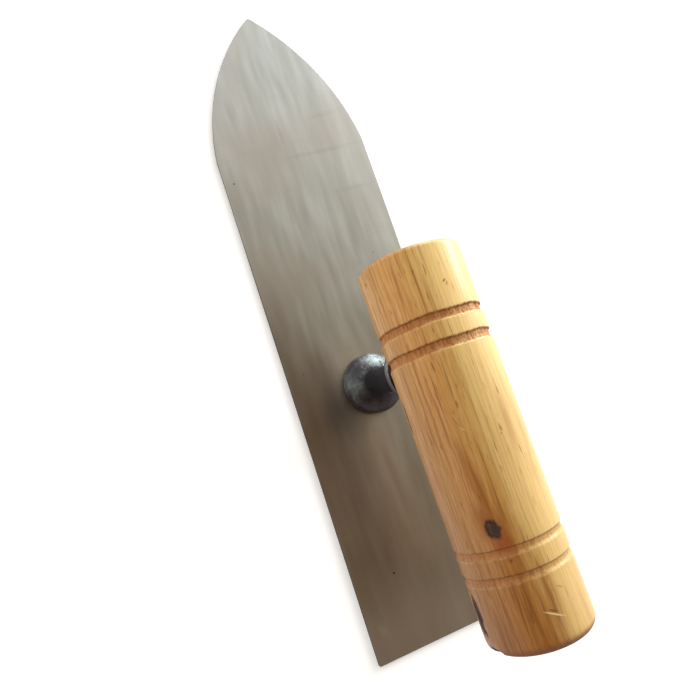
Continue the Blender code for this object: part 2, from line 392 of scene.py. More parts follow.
bladeSheet = {
    "heelWidth": 69.2 * mm,
    "noseLength": 70.5 * mm,
    "noseRadius": 110.0 * mm,
    "tipRadius": 1.2 * mm,
    "cornerRadius": 0.9 * mm,
    "edgeRound": 0.22 * mm,       # the sheared edge, rubbed round
    "holeTop": 4.9 * mm,          # countersunk hole for the screw
    "holeBottom": 6.1 * mm,
    "wave": 0.035 * mm,           # how far the rolled sheet is out of flat
}
bladeFinish = {
    "steel": (0.475, 0.475, 0.442),
    "steelDull": (0.37, 0.365, 0.325),
    "patinaAndDarkReflection": (0.33, 0.275, 0.2),
    "warm": (0.42, 0.375, 0.335),
    "cool": (0.96, 0.99, 1.04),           # multiplies the steel toward the tip
    "heelEnd": (0.52, 0.475, 0.45),
    # painted reflection: a paler steel colour along the right side
    "paintedRightSheen": (0.62, 0.61, 0.57),     # along the right side
    "edge": (0.05, 0.05, 0.05),
    # brown of the painted dark reflection beside the post
    "brown": (0.1, 0.055, 0.03),
    "speck": (0.03, 0.025, 0.02),
    "plaster": (0.62, 0.55, 0.5),
    "roughness": 0.3,
    "rolled": {"Across": 240.0, "Length": 7.0, "Contrast": 2.3},
    "brushed": {"Across": 800.0, "Length": 30.0, "Contrast": 1.5},
    # x, y and radius in mm
    "specks": ((62.9, 30.9, 0.45), (-114.8, 17.3, 0.5), (-27.0, 27.5, 0.3), (18.0, -21.0, 0.3)),
    "smudge": (-133.3, 28.6, 4.5, 3.0, 0.35),     # all of these: x, y, half length, half width, strength
    # a painted dark reflection of the handle, on the blade left of the post
    "dullAndDarkReflection": (-35.0, 30.0, 76.0, 21.0, 0.4),
    "scuffs": (                                   # as above, with the turn in degrees before the strength
        (71.7, -13.0, 27.0, 1.9, 93.0, 0.1),
        (90.0, -20.0, 13.0, 2.0, 96.0, 0.07),
        (51.0, -22.0, 15.0, 2.2, 92.0, 0.08),
        (84.0, 3.0, 9.0, 1.2, 2.0, 0.14),
    ),
}


# left half: a heel corner arc, a side, one long arc and the tip's own small arc, mirrored for the right
def bladeOutline():
    b = bladeSheet
    heelX, tipX = bladeLow.x, bladeHigh.x
    half = b["heelWidth"] / 2
    shoulder = np.array([tipX - b["noseLength"], bladeHigh.y])
    tipCenter = np.array([tipX - b["tipRadius"], 0.0])
    reach = np.linalg.norm(tipCenter - shoulder)
    inner = b["noseRadius"] - b["tipRadius"]
    along = (b["noseRadius"] ** 2 - inner ** 2 + reach ** 2) / (2.0 * reach)
    across = math.sqrt(b["noseRadius"] ** 2 - along ** 2)
    ahead = (tipCenter - shoulder) / reach
    center = shoulder + ahead * along + np.array([ahead[1], -ahead[0]]) * across
    start = math.atan2(shoulder[1] - center[1], shoulder[0] - center[0])
    end = math.atan2(tipCenter[1] - center[1], tipCenter[0] - center[0])
    corner = (heelX + b["cornerRadius"], half - b["cornerRadius"])
    heel = np.stack([np.full(40, heelX), np.linspace(0.0, corner[1], 40)], 1)
    turn = arcPoints(corner, (b["cornerRadius"],) * 2, math.pi, math.pi / 2, 10)
    side = np.stack([np.linspace(corner[0], shoulder[0], 150), np.linspace(half, shoulder[1], 150)], 1)
    nose = arcPoints(center, (b["noseRadius"],) * 2, start, end, 110)
    tip = arcPoints(tipCenter, (b["tipRadius"],) * 2, end, 0.0, 12)
    left = np.concatenate([heel[:-1], turn, side[1:-1], nose, tip[1:]])
    right = left[1:-1][::-1] * (1.0, -1.0)
    return np.concatenate([left, right])


# sheet: from each outline point, a section runs from the hole's top edge out over the rim and back below
def makeBlade(material):
    b = bladeSheet
    outline = bladeOutline()
    tangent = np.roll(outline, -1, 0) - np.roll(outline, 1, 0)
    outward = np.stack([-tangent[:, 1], tangent[:, 0]], 1) / np.linalg.norm(tangent, axis=1)[:, None]
    holeCenter = np.array([screwX, 0.0])
    ray = outline - holeCenter
    ray /= np.linalg.norm(ray, axis=1)[:, None]
    thick, edge = bladeHigh.z, b["edgeRound"]
    reach = outline - outward * (edge + 0.25 * mm) - holeCenter      # to a line just inside the rim
    share = np.linspace(0.0, 1.0, 44)[:, None, None]
    quarter = np.linspace(0.0, math.pi / 2, 5)[:, None, None]
    sink = np.array([0.33, 0.67])[:, None, None]
    top = holeCenter + ray * b["holeTop"] * (1 - share) + reach * share
    bend = outline - outward * edge * (1 - np.sin(quarter))
    sole = holeCenter + ray * b["holeBottom"] * (1 - share) + reach * share
    countersink = holeCenter + ray * (b["holeBottom"] + (b["holeTop"] - b["holeBottom"]) * sink)
    plan = np.concatenate([top, bend, bend[::-1], sole[::-1], countersink])
    flat = np.zeros(len(top))
    drop = edge * (1 - np.cos(quarter.ravel()))
    rounded = np.sin(quarter.ravel())
    height = np.concatenate([flat + thick, thick - drop, drop[::-1], flat, thick * sink.ravel()])
    rim = np.concatenate([flat, rounded, rounded[::-1], flat, [0.5, 0.5]])
    height = height[:, None] + np.zeros(len(outline))
    out = (waves(plan[..., 1] * 40.0, plan[..., 0], 11, 8, (0, 2), (20.0, 90.0)) + 2.4) * b["wave"] * 0.3
    height = height - np.clip(out, 0.0, None) * (height > thick * 0.99)
    mesh = gridMesh("bladeSheet", np.concatenate([plan, height[..., None]], -1), False)
    setField(mesh, "rim", rim[:, None] + 0.0 * height, False)
    return addPiece("blade_sheet", mesh, material, "blade", 40.0)


# mask of a lens lying on the sheet: its middle and half sizes are in mm and its turn in radians
def sheetLens(tree, where, x, y, long, wide, turn, ragged, detail, soft):
    size = (long * mm, wide * mm, long * mm)
    seen = place(tree, where, (x * mm, y * mm, bladeHigh.z), (0, 0, turn), size, "TEXTURE")
    return groupNode(tree, lensGroup, Vector=seen, Ragged=ragged, Detail=detail, Soft=soft).outputs["Mask"]


# steel = two greys mixed by streaks, then warm and dull clouds, tints along the sheet with painted reflection
# toward the heel and the right side, marks, a painted dark reflection beside the post, and a dark rim
def makeBladeMaterial():
    f, shade = bladeFinish, shadesOf(bladeFinish)
    material, tree, shader = newMaterial("rolledSteel")
    where = objectPlace(tree)
    along, across, _ = splitNode(tree, where)
    streak = groupNode(tree, streakGroup, Vector=where, **f["rolled"]).outputs
    brush = groupNode(tree, streakGroup, Vector=where, **f["brushed"]).outputs
    cloud = groupNode(tree, blotchGroup, Vector=where, Scale=26.0, Low=0.38, High=0.68).outputs["Large"]
    warm = noiseNode(tree, place(tree, where, (0.7, 0.2, 0.0)), 20.0, 2.0, 0.5)
    chatter = noiseNode(tree, place(tree, where, scale=(110.0, 14.0, 1.0)), 1.0, 3.0, 0.6)   # across
    heelward = remap(tree, along, 0.05, -0.15, 0.0, 0.55)
    steel = mixColor(tree, streak["Broad"], shade["steelDull"], shade["steel"])
    steel = layered(tree, steel, shade, (
        (remap(tree, brush["Broad"], 0.5, 1.0, 0.0, 0.35), "steelDull"),
        (remap(tree, streak["Fine"], 0.5, 1.0, 0.0, 0.2), "steelDull"),
        (remap(tree, warm, 0.5, 0.7, 0.0, 0.6), "warm"),
        (times(tree, cloud, 0.3), "steelDull"),
        # toward the heel: patina, and also a painted dark reflection of the handle and room
        (times(tree, heelward, timesPlus(tree, cloud, 0.25, 0.8)), "patinaAndDarkReflection"),
    ))
    steel = mixColor(tree, remap(tree, along, 0.07, 0.13, 0.0, 0.6), steel, shade["cool"], "MULTIPLY")
    # painted dark reflection of the handle, left of the post
    *lens, amount = f["dullAndDarkReflection"]
    dullAndDarkReflection = sheetLens(tree, where, *lens, 0.0, 0.5, 1.1, 1.0)
    layers = [
        (remap(tree, along, -0.118, -0.138, 0.0, 0.55), "heelEnd"),
        # painted reflection: paler steel along the right side
        (remap(tree, across, -0.016, -0.03, 0.0, 0.3), "paintedRightSheen"),
        (times(tree, dullAndDarkReflection, amount), "brown"),
        (remap(tree, chatter, 0.56, 0.74, 0.0, 0.12), "patinaAndDarkReflection"),
    ]
    for x, y, radius in f["specks"]:
        dot = sheetLens(tree, where, x, y, radius, radius, 0.3, 0.5, 1.2, 0.4)
        layers.append((times(tree, dot, 0.85), "speck"))
    for *lens, turn, amount in f["scuffs"]:
        scuff = sheetLens(tree, where, *lens, math.radians(turn), 0.9, 1.1, 1.0)
        layers.append((times(tree, scuff, amount), "edge"))
    *lens, amount = f["smudge"]
    smudge = sheetLens(tree, where, *lens, 0.5, 0.9, 1.1, 0.8)
    rimDark = remap(tree, fieldNode(tree, "rim"), 0.1, 0.7, 0.0, 0.94)
    layers += [(times(tree, smudge, amount), "plaster"), (rimDark, "edge")]
    rough = timesPlus(tree, streak["Broad"], 0.03, f["roughness"] - 0.02)
    rough = timesPlus(tree, cloud, 0.03, rough)
    lines = noiseNode(tree, place(tree, where, scale=(0.02, 1.0, 1.0)), 900.0, 1.0, 0.5)
    feedAll(tree, shader, {
        "Base Color": layered(tree, steel, shade, layers), "Metallic": 1.0,
        "Roughness": timesPlus(tree, rimDark, 0.25, rough),
        "Normal": bumpNode(tree, lines, 0.02, 0.0001),
    })
    return material


postCasting = {
    "lean": 0.09,                 # how far the neck moves toward the heel for each unit it rises
    "footRadius": 13.0 * mm,
    "footRim": 1.4 * mm,
    "domeHeight": 7.2 * mm,
    "neckRadius": 5.5 * mm,
    "neckBase": 6.1 * mm,
    "baseCove": 3.0 * mm,
    "flangeRadius": 13.0 * mm,
    "flangeThick": 2.8 * mm,
    "flangeCove": 10.5 * mm,
    "chamfer": 0.45 * mm,
    "boreRadius": 3.0 * mm,
    "screwBore": 3.3 * mm,
    "screwCone": 6.12 * mm,
    "segments": 168,
    "skin": 0.05 * mm,            # roughness of the cast skin
    # a bare patch where the foot's highlight falls: wear and a painted highlight
    "rubbedHighlight": (8.6 * mm, -3.0 * mm, 6.0 * mm),    # the foot's bright place: x and y from its middle, and size
}
postFinish = {
    "black": (0.024, 0.02, 0.024),
    "grey": (0.145, 0.162, 0.16),
    "rustAndShade": (0.028, 0.016, 0.021),
    "bare": (0.27, 0.305, 0.31),
    "neck": (0.006, 0.004, 0.006),
    "metal": 0.55,
    "roughness": 0.3,
}


# turned spool: its section goes from the top bore over the flange, down neck and dome, and up the lower bore
def makePost(material):
    p = postCasting
    base, top = postLow.z, postHigh.z
    footRadius, flangeRadius, boreRadius = p["footRadius"], p["flangeRadius"], p["boreRadius"]
    c = p["chamfer"]
    rise = top - base
    under = rise - p["flangeThick"]
    boreFloor = studLow.z - 0.3 * mm
    bore = [(0.0, boreFloor), (boreRadius, boreFloor), (boreRadius, top - 0.3 * mm),
            (boreRadius + 0.3 * mm, top)]
    bore = np.array([(r, z, studX) for r, z in bore])
    flange = np.concatenate([
        np.stack([np.linspace(boreRadius + 1.0 * mm, flangeRadius - 2 * c, 6), np.full(6, rise)], 1),
        arcPoints((flangeRadius - c, rise - c), (c, c), math.pi / 2, 0.0, 5),
        arcPoints((flangeRadius - c, under + c), (c, c), 0.0, -math.pi / 2, 5)[:-1],
    ])
    cove = arcPoints((flangeRadius - c, under - p["flangeCove"]),
                     (flangeRadius - c - p["neckRadius"], p["flangeCove"]), math.pi / 2, math.pi, 30)
    domeEnd = math.acos(p["neckBase"] / footRadius)
    domeTop = p["footRim"] + p["domeHeight"] * math.sin(domeEnd)
    neckLow, neckHigh = domeTop + p["baseCove"], under - p["flangeCove"]
    neck = np.stack([np.full(34, p["neckRadius"]), np.linspace(neckHigh, neckLow, 36)[1:-1]], 1)
    baseCove = arcPoints((p["neckBase"], neckLow), (p["neckBase"] - p["neckRadius"], p["baseCove"]),
                         math.pi, math.pi * 1.5, 12)
    dome = arcPoints((0.0, p["footRim"]), (footRadius, p["domeHeight"]), domeEnd, 0.0, 44)[1:]
    rim = np.concatenate([
        np.array([(footRadius, p["footRim"] * 0.6)]),
        arcPoints((footRadius - 0.3 * mm, 0.3 * mm), (0.3 * mm, 0.3 * mm), 0.0, -math.pi / 2, 4),
    ])
    outer = np.concatenate([flange, cove, neck, baseCove, dome, rim])
    outer = np.column_stack([outer[:, 0], outer[:, 1] + base, screwX - p["lean"] * outer[:, 1]])
    socketTop = screwHigh.z + 0.3 * mm
    screwBore, cone = p["screwBore"], p["screwCone"]
    socket = [(footRadius * 0.7, base), (cone - base, base), (screwBore, cone - screwBore),
              (screwBore, socketTop), (0.0, socketTop)]
    socket = np.array([(r, z, screwX) for r, z in socket])
    profile = np.concatenate([bore, outer, socket])
    points = turnedGrid(profile, p["segments"])
    angle = np.linspace(0.0, math.tau, p["segments"], endpoint=False)[None, :]
    shown = np.zeros(len(profile))
    shown[len(bore) + 8:len(bore) + len(outer) - 5] = 1.0
    skin = waves(angle, points[..., 2] / mm, 21, 30, (2, 22), (0.4, 3.2)) * p["skin"]
    lump = waves(angle, points[..., 2] / mm, 22, 6, (1, 3), (0.05, 0.35)) * p["skin"] * 1.6
    inward = -np.abs(skin + lump) * shown[:, None]
    points[..., 0] += inward * np.cos(angle)
    points[..., 1] += inward * np.sin(angle)
    mesh = gridMesh("postCasting", points, True)
    above = points[..., 2] - base
    rimWear = np.exp(-((above - p["footRim"]) / (0.9 * mm)) ** 2)
    # the flange's edge is made bare as well: wear, and a painted highlight for its lit rim
    flangeWearAndHighlight = smoothStep(rise - 3.4 * mm, rise - 2.2 * mm, above)
    neckward = smoothStep(domeTop - 0.7 * mm, domeTop + 0.3 * mm, above)
    setField(mesh, "neck", neckward * (1.0 - flangeWearAndHighlight), True)
    highlightX, highlightY, highlightSize = p["rubbedHighlight"]
    # bare metal on the foot's bright place: wear and a painted highlight
    away = np.hypot(points[..., 0] - screwX - highlightX, points[..., 1] - highlightY) / highlightSize
    rubbedHighlight = np.exp(-away ** 2)
    wearAndHighlight = np.clip(rimWear * 0.45 + flangeWearAndHighlight + rubbedHighlight * (above < 9 * mm), 0, 1)
    setField(mesh, "wearAndHighlight", wearAndHighlight * (shown[:, None] + flangeWearAndHighlight > 0), True)
    return addPiece("post_casting", mesh, material, "post", 50.0)


# iron = black and grey by blotches, then rust, bare flecks, bare wear and a painted highlight where that
# field + noise is high, painted shade on the heel side, and a dark neck
def makePostMaterial():
    f, shade = postFinish, shadesOf(postFinish)
    material, tree, shader = newMaterial("blackenedIron")
    where = objectPlace(tree)
    moved = place(tree, where, (0.3, 0.1, 0.0))
    blotch = groupNode(tree, blotchGroup, Vector=where, Scale=95.0, Low=0.42, High=0.66).outputs
    patch = groupNode(tree, blotchGroup, Vector=moved, Scale=60.0, Low=0.45, High=0.62).outputs
    flecks = remap(tree, noiseNode(tree, where, 620.0, 2.0, 0.55), 0.665, 0.72, 0.0, 0.9)
    flecks = times(tree, flecks, remap(tree, patch["Small"], 0.1, 0.7, 0.15, 1.0))
    wearAndHighlight = fieldNode(tree, "wearAndHighlight")
    scraped = timesPlus(tree, wearAndHighlight, 0.3, noiseNode(tree, where, 420.0, 4.0, 0.65))
    ragged = times(tree, wearAndHighlight, remap(tree, scraped, 0.58, 0.76))
    neck = fieldNode(tree, "neck")
    color = mixColor(tree, timesPlus(tree, blotch["Large"], 0.7, 0.25), shade["black"], shade["grey"])
    color = layered(tree, color, shade, (
        (times(tree, patch["Large"], 0.5), "rustAndShade"),
        (flecks, "bare"),
        (times(tree, ragged, 0.8), "bare"),
        # painted shade on the foot's heel side, under the handle
        (remap(tree, splitNode(tree, where)["X"], screwX, screwX - 7.0 * mm, 0.0, 0.75), "rustAndShade"),
        (times(tree, neck, 0.97), "neck"),
    ))
    metal = mathNode(tree, "MAXIMUM", ragged, timesPlus(tree, neck, -f["metal"], f["metal"]))
    rough = timesPlus(tree, blotch["Small"], 0.16, f["roughness"] - 0.06)
    rough = timesPlus(tree, ragged, 0.12, rough)
    skin = bumpNode(tree, noiseNode(tree, where, 1500.0, 3.0, 0.6), 0.25, 0.0002)
    feedAll(tree, shader, {
        "Base Color": color, "Metallic": mathNode(tree, "MAXIMUM", flecks, metal),
        "Roughness": timesPlus(tree, neck, 0.3, rough), "Specular IOR Level": 0.25,
        "Normal": bumpNode(tree, blotch["Small"], 0.3, 0.0003, skin),
    })
    return material


handleBar = {
    "frontRadius": 17.2 * mm,
    "rearRadius": 16.4 * mm,
    "frontEdge": 1.6 * mm,
    "rearEdge": 3.2 * mm,
    "grooves": (                  # middle from the front end, width and depth in mm, how torn its floor is
        (22.8, 3.2, 0.72, 1.0),
        (31.1, 3.4, 0.8, 1.0),
        (90.8, 2.7, 0.5, 0.28),
        (98.2, 2.6, 0.52, 0.22),
    ),
    # from the front end, degrees from the top toward the left, half length, half width
    "knot": (84.1, 37.0, 3.7, 2.6),
    "knotDepth": 0.22 * mm,
    # the last of these, 48 mm from the front, is a thin dark line just inside the left outline
    "bark": ((108.4, 98.0, 7.4, 3.2), (118.2, 87.0, 1.7, 4.0), (48.0, 103.5, 8.0, 1.5)),
    "barkDepth": 0.8 * mm,
    "unround": 0.1 * mm,
    "ripple": 0.008 * mm,         # turning marks, and how far the grain stands up
    "segments": 400,
    "seatRadius": 13.3 * mm,
    "boreRadius": 3.0 * mm,
}
handleFinish = {
    "pale": (0.84, 0.59, 0.22),
    "honey": (0.695, 0.352, 0.091),
    "side": (0.5, 0.27, 0.078),
    "line": (0.29, 0.092, 0.012),
    "bright": (0.9, 0.68, 0.38),
    "groove": (0.4, 0.14, 0.036),
    "burntAndShade": (0.17, 0.05, 0.01),
    "undersideShade": (0.13, 0.055, 0.022),
    "knotRim": (0.03, 0.01, 0.006),
    "knotHeart": (0.15, 0.078, 0.062),
    "stain": (0.33, 0.075, 0.018),
    "bark": (0.04, 0.016, 0.012),
    "rearShade": (0.52, 0.4, 0.29),
    "ringWidth": 1.75 * mm,
    "pith": (46.0 * mm, 130.0),   # distance from the handle's axis, degrees from the top toward the left
    "fibres": {"Across": 1150.0, "Length": 28.0, "Contrast": 1.9},
    "bands": {"Across": 230.0, "Length": 9.0, "Contrast": 1.9},
    "roughness": 0.4,
    "varnish": 0.14,
    # round the knot: along, degrees, half sizes, turn, and how its edge is torn and soft
    "halo": (-1.6, 2.0, 9.0, 5.4, 12.0, 0.7, 1.4, 0.85),
    "seep": (4.0, -4.5, 6.4, 3.6, 12.0, 0.8, 1.6, 0.7),
    # from the front end, degrees from the top, half length, half width, turn in the surface, strength, color
    "marks": (
        (109.7, 8.9, 4.2, 0.32, 62.0, 0.8, "bright"),
        (108.7, 9.4, 1.7, 0.4, 62.0, 0.7, "burntAndShade"),
        (92.6, 32.0, 1.8, 1.3, 0.0, 0.4, "line"),
        (103.8, -5.9, 1.6, 0.3, 60.0, 0.45, "line"),
        (13.3, -2.1, 0.9, 0.35, -50.0, 0.85, "burntAndShade"),
        (14.2, -4.0, 1.0, 0.25, -50.0, 0.55, "line"),
        (53.5, 34.9, 2.5, 0.13, 28.0, 0.7, "line"),
        (55.6, 31.5, 1.2, 0.14, 42.0, 0.6, "bright"),
        (60.2, -3.6, 0.45, 0.35, 0.0, 0.6, "line"),
        (93.3, 30.8, 0.7, 0.55, 20.0, 0.75, "burntAndShade"),
        (69.0, 38.3, 15.0, 2.4, 5.7, 0.55, "line"),
        (74.0, 35.0, 11.0, 0.7, 4.0, 0.75, "line"),
        (36.4, 38.0, 2.2, 0.3, 4.0, 0.75, "burntAndShade"),
        (41.0, 50.0, 4.5, 0.22, 4.0, 0.5, "line"),
        (67.5, 80.0, 4.5, 1.9, 8.0, 0.4, "stain"),
        (5.0, 84.0, 0.8, 0.8, 0.0, 0.6, "burntAndShade"),
    ),
}


# how deep each groove is at a distance from the front end: a cove, steeper on its front side
def grooveDepths(distance, edgeShift):
    total = np.zeros(np.broadcast(distance, edgeShift).shape)
    frontWall = np.zeros_like(total)
    tear = np.zeros_like(total)
    for middle, width, depth, torn in handleBar["grooves"]:
        t = (distance + edgeShift * torn - middle * mm) / (width * mm / 2)
        inside = np.clip(1.0 - np.abs(t), 0.0, 1.0)
        steep = smoothStep(0.0, 0.42, inside) * (t < 0) + smoothStep(0.0, 1.0, inside) * (t >= 0)
        total += depth * mm * np.where(t < 0, steep, 0.5 * steep + 0.5 * np.clip(1 - t * t, 0, 1))
        frontWall += np.exp(-((t + 0.8) / 0.2) ** 2)
        tear += torn * (inside > 0.02)
    return total, frontWall, tear


# distance from the middle of a lens on the bar, where 1 is its edge
def lensAway(distance, angle, middle, degrees, long, wide):
    around = (np.degrees(angle) - degrees) * math.pi / 180.0 * handleBar["frontRadius"]
    return np.sqrt(((distance - middle * mm) / (long * mm)) ** 2 + (around / (wide * mm)) ** 2)


# turned bar along X: radius = taper - grooves - uneven turning, with quarter-round edges into flat ends
def makeHandle(material):
    h = handleBar
    length = handleHigh.x - handleLow.x
    axisZ = handleHigh.z - h["frontRadius"]
    frontEdge, rearEdge = h["frontEdge"], h["rearEdge"]
    grooveRows = [np.arange(m - w / 2 - 0.6, m + w / 2 + 0.6, 0.16) for m, w, _, _ in h["grooves"]]
    plain = np.arange(frontEdge / mm, (length - rearEdge) / mm, 0.95)
    keep = np.ones(len(plain), bool)
    for rows in grooveRows:
        keep &= (plain < rows[0] - 0.3) | (plain > rows[-1] + 0.3)
    body = np.sort(np.concatenate([plain[keep]] + grooveRows)) * mm
    frontArc = arcPoints((h["frontRadius"] - frontEdge, frontEdge), (frontEdge,) * 2, -math.pi / 2, 0.0, 9)
    rearCenter = (h["rearRadius"] - rearEdge, length - rearEdge)
    rearArc = arcPoints(rearCenter, (rearEdge,) * 2, 0.0, math.pi / 2, 10)
    frontFace = np.stack([np.linspace(0.0, 1.0, 9)[:-1] * frontArc[0, 0], np.zeros(8)], 1)
    rearFace = np.stack([np.linspace(1.0, 0.0, 9)[1:] * rearArc[-1, 0], np.full(8, length)], 1)
    taper = h["frontRadius"] + (h["rearRadius"] - h["frontRadius"]) * body / length
    profile = np.concatenate([frontFace, frontArc[:-1], np.stack([taper, body], 1), rearArc[1:], rearFace])
    radius, distance = profile[:, :1], profile[:, 1:]
    along = distance / mm
    angle = np.linspace(0.0, math.tau, h["segments"], endpoint=False)[None, :]     # from the top to the left
    jagged, wander = waves(angle, 0.0, 31, 24, (4, 60), (0, 1)), waves(angle, 0.0, 32, 8, (1, 7), (0, 1))
    shift = (jagged * 0.06 + wander * 0.15) * mm
    depth, frontWall, tear = grooveDepths(distance, shift + 0.0 * distance)
    fibres = waves(angle, along, 33, 40, (60, 190), (0.1, 1.5))
    shreds = smoothStep(0.3, 1.6, waves(angle, along, 34, 26, (25, 120), (0.6, 3.5)))
    inGroove = smoothStep(0.05 * mm, 0.4 * mm, depth)
    depth = depth + inGroove * tear * (0.06 * fibres + 0.2 * shreds) * mm
    lip = np.exp(-(lipDistance(distance, shift) / (0.22 * mm)) ** 2)
    depth = depth + 0.04 * mm * lip * smoothStep(0.2, 1.2, fibres)
    flatEnds = smoothStep(0.0, 3.0 * mm, radius - 10.0 * mm)
    uneven = (waves(angle, along, 35, 9, (1, 3), (0.01, 0.09)) + 1.6) * 0.3 * h["unround"]
    ripple = (waves(angle, along, 36, 14, (0, 2), (1.2, 2.6)) + 1.0) * h["ripple"]
    grainLift = (waves(angle, along, 37, 30, (20, 100), (0.02, 0.2)) + 1.0) * h["ripple"]
    scoop = np.zeros_like(depth)
    for lens in h["bark"]:
        away = lensAway(distance, angle, *lens) + 0.12 * waves(angle, along, 38, 10, (10, 40), (0.3, 1.5))
        scoop = np.maximum(scoop, smoothStep(1.0, 0.35, away) * h["barkDepth"])
    away = lensAway(distance, angle, *h["knot"]) + 0.15 * fibres
    scoop = np.maximum(scoop, smoothStep(0.9, 0.3, away) * h["knotDepth"])
    full = radius - (depth + uneven + ripple + grainLift + scoop) * flatEnds
    points = [handleHigh.x - distance + 0.0 * angle, full * np.sin(angle), axisZ + full * np.cos(angle)]
    mesh = gridMesh("handleBar", np.stack(points, -1), True)
    groove = np.clip(depth / (0.7 * mm), 0, 1.3) * (0.25 + 0.75 * smoothStep(0.0, 1.0, tear))
    fields = {"groove": groove, "frontWall": frontWall, "lip": lip + 0.0 * depth}
    fields["bark"] = scoop / h["barkDepth"]
    for name, values in fields.items():
        setField(mesh, name, values, True)
    seatZ = postHigh.z + 0.3 * mm
    mesh = carve(mesh, [
        barMesh(h["seatRadius"], seatZ - 4 * mm, seatZ, studX, 96),
        barMesh(h["boreRadius"], seatZ - 5 * mm, studHigh.z + 0.3 * mm, studX, 48),
    ])
    mesh.materials.clear()
    print("handle carved:", len(mesh.polygons), "faces")
    return addPiece("wooden_handle", mesh, material, "handle", 50.0)


# distance from the nearest groove's rear lip
def lipDistance(distance, shift):
    nearest = np.full(np.broadcast(distance, shift).shape, 1.0)
    for middle, width, _, torn in handleBar["grooves"]:
        nearest = np.minimum(nearest, np.abs(distance + shift * torn - (middle + 0.54 * width) * mm))
    return nearest


# mask of a lens lying on the handle's surface: the space is turned to face it, then turned within the surface
def surfaceLens(tree, local, distance, degrees, long, wide, turn, ragged, detail, soft):
    around = math.radians(degrees)
    radius = handleBar["frontRadius"] - 0.4 * mm
    center = (-distance * mm, radius * math.sin(around), radius * math.cos(around))
    facing = place(tree, local, center, (-around, 0, 0), (1, 1, 1), "TEXTURE")
    size = (long * mm, wide * mm, 6 * mm)
    flat = place(tree, facing, (0, 0, 0), (0, 0, math.radians(turn)), size, "TEXTURE")
    return groupNode(tree, lensGroup, Vector=flat, Ragged=ragged, Detail=detail, Soft=soft).outputs, flat


# rings = fraction of (distance from the pith + sway + a bulge at the knot) / ring width, dark in late wood
def grainLines(tree, local, bent, knotSpace, fibre):
    f = handleFinish
    away, degrees = f["pith"]
    pithY, pithZ = away * math.sin(math.radians(degrees)), away * math.cos(math.radians(degrees))
    knotAway = vectorNode(tree, "LENGTH", vectorNode(tree, "MULTIPLY", knotSpace, (0.35, 0.6, 0.4)))
    bulge = mathNode(tree, "DIVIDE", 0.0022, timesPlus(tree, knotAway, knotAway, 1.0))
    x, y, z = splitNode(tree, bent)
    fromY, fromZ = minus(tree, y, pithY), minus(tree, z, pithZ)
    ring = mathNode(tree, "SQRT", timesPlus(tree, fromY, fromY, times(tree, fromZ, fromZ)))
    ring = timesPlus(tree, x, 0.02, ring)
    count = mathNode(tree, "DIVIDE", mathNode(tree, "ADD", ring, bulge), f["ringWidth"])
    uneven = noiseNode(tree, place(tree, local, scale=(0.02, 1.0, 1.0)), 190.0, 2.0, 0.5)
    count = timesPlus(tree, uneven, 1.6, count)
    stops = ((0.0, 0.15), (0.3, 0.0), (0.62, 0.3), (0.86, 1.0), (1.0, 0.15))
    late = rampNode(tree, mathNode(tree, "FRACT", count), [(at, (grey,) * 3) for at, grey in stops])
    ownRing = tree.nodes.new("ShaderNodeTexWhiteNoise")
    ownRing.noise_dimensions = "1D"
    feed(tree, ownRing.inputs["W"], mathNode(tree, "FLOOR", count))
    strength = timesPlus(tree, ownRing.outputs["Value"], 0.65, 0.35)
    broken = remap(tree, fibre["Broad"], 0.2, 0.65, 0.5, 1.0)
    return times(tree, times(tree, late, strength), broken), ring
